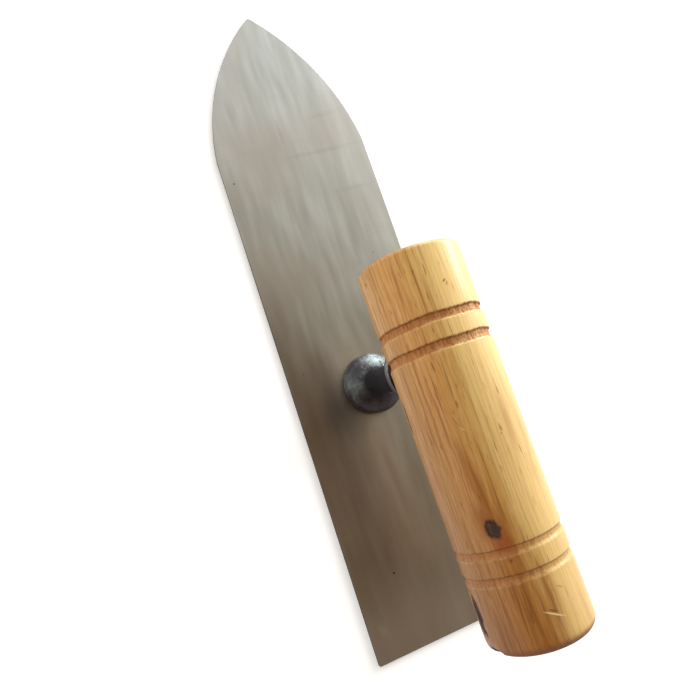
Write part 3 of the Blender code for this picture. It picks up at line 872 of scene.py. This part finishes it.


# wood = pale to honey by distance from the pith, partly painted light and shade across the bar, then lines,
# fibres, tints along it with painted shade to the rear and below, marks, grooves with painted shade and
# highlights, and knot
def makeHandleMaterial():
    f, h, shade = handleFinish, handleBar, shadesOf(handleFinish)
    material, tree, shader = newMaterial("varnishedPine")
    axisZ = handleHigh.z - h["frontRadius"]
    # from here on, points are seen from the front end's middle
    local = place(tree, objectPlace(tree), (handleHigh.x, 0.0, axisZ), (0, 0, 0), (1, 1, 1), "TEXTURE")
    along = splitNode(tree, local)["X"]
    stretched = place(tree, local, scale=(0.1, 1.0, 1.0))
    sway = noiseNode(tree, stretched, 75.0, 2.0, 0.5, output="Color")
    sway = vectorNode(tree, "SUBTRACT", sway, (0.5, 0.5, 0.5))
    bent = vectorNode(tree, "MULTIPLY_ADD", sway, (0.0, 0.0035, 0.0035))
    feed(tree, bent.node.inputs[2], local)
    middle, degrees, *_ = h["knot"]
    knot, knotSpace = surfaceLens(tree, local, *h["knot"], 12.0, 0.8, 1.4, 0.45)
    fibre = groupNode(tree, streakGroup, Vector=local, **f["fibres"]).outputs
    band = groupNode(tree, streakGroup, Vector=local, **f["bands"]).outputs
    lines, ring = grainLines(tree, local, bent, knotSpace, fibre)
    # darker toward its heart, which lies off to the left, and paler toward the right: the wood's own tone,
    # and also painted shade on the left and painted light on the right
    heartwoodAndShade = remap(tree, ring, 0.059, 0.047)
    tone = timesPlus(tree, minus(tree, band["Broad"], 0.5), 0.55, heartwoodAndShade)
    wood = mixColor(tree, remap(tree, tone, 0.0, 1.0), shade["pale"], shade["honey"])
    darker = remap(tree, heartwoodAndShade, 0.0, 0.7, 0.35, 1.0)
    dashes = noiseNode(tree, place(tree, local, scale=(0.12, 1.0, 1.0)), 1300.0, 1.0, 0.5)   # cut pores
    wood = layered(tree, wood, shade, (
        # painted shade on the left side
        (remap(tree, ring, 0.0455, 0.038, 0.0, 0.8), "side"),
        (times(tree, lines, remap(tree, heartwoodAndShade, 0.0, 0.7, 0.16, 0.72)), "line"),
        (remap(tree, band["Broad"], 0.55, 1.0, 0.0, 0.27), "line"),
        (times(tree, darker, remap(tree, fibre["Broad"], 0.55, 0.95, 0.0, 0.6)), "line"),
        (times(tree, darker, remap(tree, fibre["Fine"], 0.5, 0.95, 0.0, 0.42)), "line"),
        (remap(tree, band["Fine"], 0.4, 0.05, 0.0, 0.22), "bright"),
        (remap(tree, dashes, 0.67, 0.75, 0.0, 0.6), "line"),
    ))
    # painted shade: darker toward the rear, and brown all along below
    rearward = remap(tree, along, -10 * mm, -125 * mm, smooth=False)
    rearShare = times(tree, rearward, remap(tree, heartwoodAndShade, 0.0, 1.0, 0.45, 1.1), clamp=True)
    wood = mixColor(tree, rearShare, wood, shade["rearShade"], "MULTIPLY")
    # painted shade: a dark line round the rear edge, also left rough
    rearRim = remap(tree, along, -116.2 * mm, -118.4 * mm)
    down = math.radians(165)
    below = vectorNode(tree, "DOT_PRODUCT", bent, (0.0, math.sin(down), math.cos(down)))
    layers = [
        (times(tree, rearRim, 0.88), "burntAndShade"),
        (remap(tree, along, -1.3 * mm, -0.2 * mm, 0.0, 0.5), "line"),
        # painted shade all along the underside
        (remap(tree, below, 10.3 * mm, 15.0 * mm, 0.0, 0.85), "undersideShade"),
    ]
    for name, amount, color in (("halo", 0.85, "line"), ("seep", 0.88, "stain")):
        off, turned, *rest = f[name]
        spot, _ = surfaceLens(tree, local, middle + off, degrees + turned, *rest)
        layers.append((times(tree, spot["Mask"], amount), color))
    for *lens, amount, color in f["marks"]:
        mark, _ = surfaceLens(tree, local, *lens, 0.6, 1.6, 0.6)
        layers.append((times(tree, mark["Mask"], amount), color))
    groove = remap(tree, fieldNode(tree, "groove"), 0.02, 0.6, 0.0, 0.85)
    floor = times(tree, groove, timesPlus(tree, fibre["Broad"], 0.9, 0.45))
    # groove front walls: burnt dark, and partly painted shade
    wall = times(tree, fieldNode(tree, "frontWall"), remap(tree, fibre["Broad"], 0.2, 0.7, 0.35, 0.7))
    # painted highlight along each groove's rear lip
    lip = times(tree, fieldNode(tree, "lip"), remap(tree, band["Fine"], 0.35, 0.75, 0.0, 0.22))
    wood = layered(tree, wood, shade, layers + [(floor, "groove"), (wall, "burntAndShade"), (lip, "bright")])
    heart = remap(tree, knot["Distance"], 0.3, 0.62)
    crack = times(tree, remap(tree, noiseNode(tree, knotSpace, 1.6, 3.0), 0.47, 0.53), 0.6)
    knotColor = mixColor(tree, mathNode(tree, "MAXIMUM", heart, crack), shade["knotHeart"], shade["knotRim"])
    wood = mixColor(tree, knot["Mask"], wood, knotColor)
    bark = remap(tree, fieldNode(tree, "bark"), 0.05, 0.35)
    bare = mathNode(tree, "MAXIMUM", bark, times(tree, knot["Mask"], 0.8))
    bare = mathNode(tree, "MAXIMUM", bare, rearRim)
    rough = timesPlus(tree, fibre["Broad"], 0.12, f["roughness"] - 0.06)
    rough = timesPlus(tree, floor, 0.35, rough)
    matt = times(tree, mathNode(tree, "MAXIMUM", floor, bare), 0.4)
    relief = minus(tree, fibre["Broad"], times(tree, lines, 0.8))
    feedAll(tree, shader, {
        "Base Color": mixColor(tree, bark, wood, shade["bark"]),
        "Roughness": timesPlus(tree, bare, 0.3, rough),
        "Coat Weight": minus(tree, f["varnish"], matt, clamp=True),
        "Coat Roughness": 0.2, "Specular IOR Level": 0.33,
        "Normal": bumpNode(tree, relief, 0.22, 0.00025),
    })
    return material


fastenerSizes = {
    "headRadius": 5.7 * mm,
    "headRim": 0.15 * mm,
    "slotWidth": 1.4 * mm,
    "slotDepth": 0.7 * mm,
    "screwRadius": 3.0 * mm,
    "screwPitch": 1.0 * mm,
    "screwThread": 0.45 * mm,     # how deep the thread is
    "studRadius": 2.7 * mm,
    "studPoint": 6.0 * mm,
    "ironPitch": 0.9 * mm,        # the stud's lower thread
    "ironThread": 0.35 * mm,
    "woodPitch": 2.8 * mm,        # and its upper one
    "woodThread": 0.62 * mm,
}
fastenerFinish = {
    "dullAndDarkReflection": (0.3, 0.295, 0.28),
    "bright": (0.45, 0.445, 0.43),
    "stain": (0.16, 0.12, 0.09),
    "turned": {"Across": 2200.0, "Length": 20.0, "Contrast": 1.4},
    "roughness": 0.33,
}


# threaded bar: radius = outer - depth x saw wave of (height / pitch - angle / turn)
def threadedGrid(heights, outer, depths, pitch, x, segments=72):
    angle = np.linspace(0.0, math.tau, segments, endpoint=False)[None, :]
    phase = (heights[:, None] / pitch - angle / math.tau) % 1.0
    groove = 1.0 - np.abs(2.0 * phase - 1.0)
    radius = outer[:, None] - depths[:, None] * groove
    return np.stack([x + radius * np.cos(angle), radius * np.sin(angle), heights[:, None] + 0.0 * angle], -1)


# countersunk screw, head down: radius = head radius - height down to the shank's, with a slot in the head
def makeScrew(material):
    s = fastenerSizes
    cone = s["headRadius"] - s["screwRadius"]
    flanks = [np.linspace(0.0005, cone, 12), np.arange(cone + 0.1 * mm, screwHigh.z, 0.12 * mm)]
    heights = np.concatenate([[0, 0, 0.0001, 0.00025], *flanks, [screwHigh.z] * 2])
    outer = np.clip(s["headRadius"] - heights, s["screwRadius"], None)
    outer[:2] = (0.0, s["headRadius"] - s["headRim"])
    outer[-1] = 0.0
    depths = s["screwThread"] * smoothStep(cone + 0.3 * mm, cone + 1.0 * mm, heights)
    depths[-1] = 0.0
    mesh = gridMesh("soleScrew", threadedGrid(heights, outer, depths, s["screwPitch"], screwX), True)
    half = (2.0 * s["headRadius"], s["slotWidth"] / 2, s["slotDepth"])
    signs = np.array([(a, b, c) for a in (-1, 1) for b in (-1, 1) for c in (-1, 1)])
    corners = signs * half + (screwX, 0.0, 0.0)
    sides = [(0, 1, 3, 2), (4, 6, 7, 5), (0, 4, 5, 1), (2, 3, 7, 6), (0, 2, 6, 4), (1, 5, 7, 3)]
    slotMesh = bpy.data.meshes.new("slot")
    slotMesh.from_pydata(corners.tolist(), [], sides)
    mesh = carve(mesh, [slotMesh])
    mesh.materials.clear()
    return addPiece("countersunk_screw", mesh, material, "sole_screw", 30.0)


# stud: a fine thread below the seat and a coarse one above it, drawn in to a blunt point at the top
def makeStud(material):
    s = fastenerSizes
    low, high, seat, pointStart = studLow.z, studHigh.z, postHigh.z, studHigh.z - s["studPoint"]
    heights = np.concatenate([[low] * 2, np.arange(low + 0.1 * mm, high - 0.05 * mm, 0.11 * mm), [high]])
    point = smoothStep(high, pointStart, heights)
    outer = s["studRadius"] * np.where(heights > pointStart, 0.12 + 0.88 * point, 1.0)
    outer[0] = outer[-1] = 0.0
    coarse = smoothStep(seat + 0.5 * mm, seat + 3.0 * mm, heights)
    fine = smoothStep(seat - 0.5 * mm, seat - 2.0 * mm, heights) * smoothStep(low, low + 0.8 * mm, heights)
    iron = threadedGrid(heights, outer, s["ironThread"] * fine, s["ironPitch"], studX)
    wood = threadedGrid(heights, outer, s["woodThread"] * coarse * point, s["woodPitch"], studX)
    mesh = gridMesh("handleStud", np.where((heights > seat)[:, None, None], wood, iron), True)
    return addPiece("double_stud", mesh, material, "handle_stud", 30.0)


# steel = dull to bright by streaks, then stained by blotches
def makeFastenerMaterial():
    f, shade = fastenerFinish, shadesOf(fastenerFinish)
    material, tree, shader = newMaterial("turnedSteel")
    where = objectPlace(tree)
    streak = groupNode(tree, streakGroup, Vector=where, **f["turned"]).outputs
    blotch = groupNode(tree, blotchGroup, Vector=where, Scale=240.0, Low=0.4, High=0.7).outputs
    color = mixColor(tree, streak["Broad"], shade["dullAndDarkReflection"], shade["bright"])
    color = mixColor(tree, times(tree, blotch["Large"], 0.4), color, shade["stain"])
    feedAll(tree, shader, {
        "Base Color": color, "Metallic": 1.0,
        "Roughness": timesPlus(tree, blotch["Small"], 0.15, f["roughness"]),
        "Normal": bumpNode(tree, streak["Fine"], 0.12, 0.0001),
    })
    return material


makeBlade(makeBladeMaterial())
print("blade made")
makePost(makePostMaterial())
print("post made")
makeHandle(makeHandleMaterial())
print("handle made")
fastenerSteel = makeFastenerMaterial()
makeScrew(fastenerSteel)
makeStud(fastenerSteel)
print("fasteners made")


studio = {
    "cameraPlace": (-0.05964, 0.08279, 0.23855),
    "cameraForward": (0.14726, -0.30933, -0.93948),
    "cameraUp": (0.93678, -0.26121, 0.23284),
    "lens": 30.03,
    "floorColor": (0.93, 0.94, 0.96),
    "floorGlow": 0.3,
    "floorReach": 2.5,
    "floorHeight": -0.0003,
    "dimToward": (-0.35, 0.15, 0.92),             # the dim part of the room, over the heel
    "room": (                                     # cosine of the angle from there, and the room's color
        (0.42, (1.34, 1.35, 1.34)),
        (0.56, (0.98, 0.965, 0.915)),
        (0.7, (0.61, 0.57, 0.475)),
        (0.75, (0.53, 0.455, 0.35)),
        (0.8, (0.33, 0.245, 0.17)),
        (0.92, (0.28, 0.2, 0.13)),
    ),
    "worldStrength": 1.0,
    "lights": (                                   # name, place, aim, size, watts, color
        ("keyLight", (0.35, -0.9, 0.27), (0.0, 0.0, 0.03), 0.4, 8.2, (1.0, 0.98, 0.94)),
        ("frontLight", (0.76, -0.36, 0.2), (-0.03, 0.0, 0.03), 0.3, 3.6, (0.93, 0.98, 1.0)),
    ),
}


# matrix of a lamp or camera at a place, looking forward with its top toward up
def aimed(placeAt, forward, up):
    forward = Vector(forward).normalized()
    right = forward.cross(Vector(up)).normalized()
    top = right.cross(forward)
    turn = Matrix((right, top, -forward)).transposed().to_4x4()
    return Matrix.Translation(placeAt) @ turn


# camera, two soft lamps, a room that dims toward one side, and a pale floor just under the sole
def makeStudio():
    s = studio
    scene = bpy.context.scene
    scene.view_settings.view_transform = "Standard"
    camera = newObject("camera", bpy.data.cameras.new("camera"))
    camera.data.lens = s["lens"]
    camera.data.clip_start = 0.01
    camera.matrix_world = aimed(s["cameraPlace"], s["cameraForward"], s["cameraUp"])
    scene.camera = camera
    for name, placeAt, aim, size, watts, color in s["lights"]:
        data = bpy.data.lights.new(name, "AREA")
        data.size = size
        data.energy = watts
        data.color = color
        newObject(name, data).matrix_world = aimed(placeAt, Vector(aim) - Vector(placeAt), (0, 0, 1))
    world = bpy.data.worlds.new("studioWorld")
    scene.world = world
    world.use_nodes = True
    tree = world.node_tree
    back = tree.nodes["Background"]
    direction = tree.nodes.new("ShaderNodeTexCoord").outputs["Generated"]
    facing = vectorNode(tree, "DOT_PRODUCT", direction, Vector(s["dimToward"]).normalized())
    feed(tree, back.inputs["Color"], rampNode(tree, facing, s["room"]))
    back.inputs["Strength"].default_value = s["worldStrength"]
    far, height = s["floorReach"], s["floorHeight"]
    corners = [(-far, -far, height), (far, -far, height), (far, far, height), (-far, far, height)]
    floorMesh = bpy.data.meshes.new("floor")
    floorMesh.from_pydata(corners, [], [(0, 1, 2, 3)])
    floor = newObject("floor", floorMesh)
    material, floorTree, shader = newMaterial("paleFloor")
    feedAll(floorTree, shader, {
        "Base Color": (*s["floorColor"], 1), "Roughness": 0.9, "Specular IOR Level": 0.1,
        "Emission Color": (1, 1, 1, 1), "Emission Strength": s["floorGlow"],
    })
    floorMesh.materials.append(material)


makeStudio()
print("studio made")
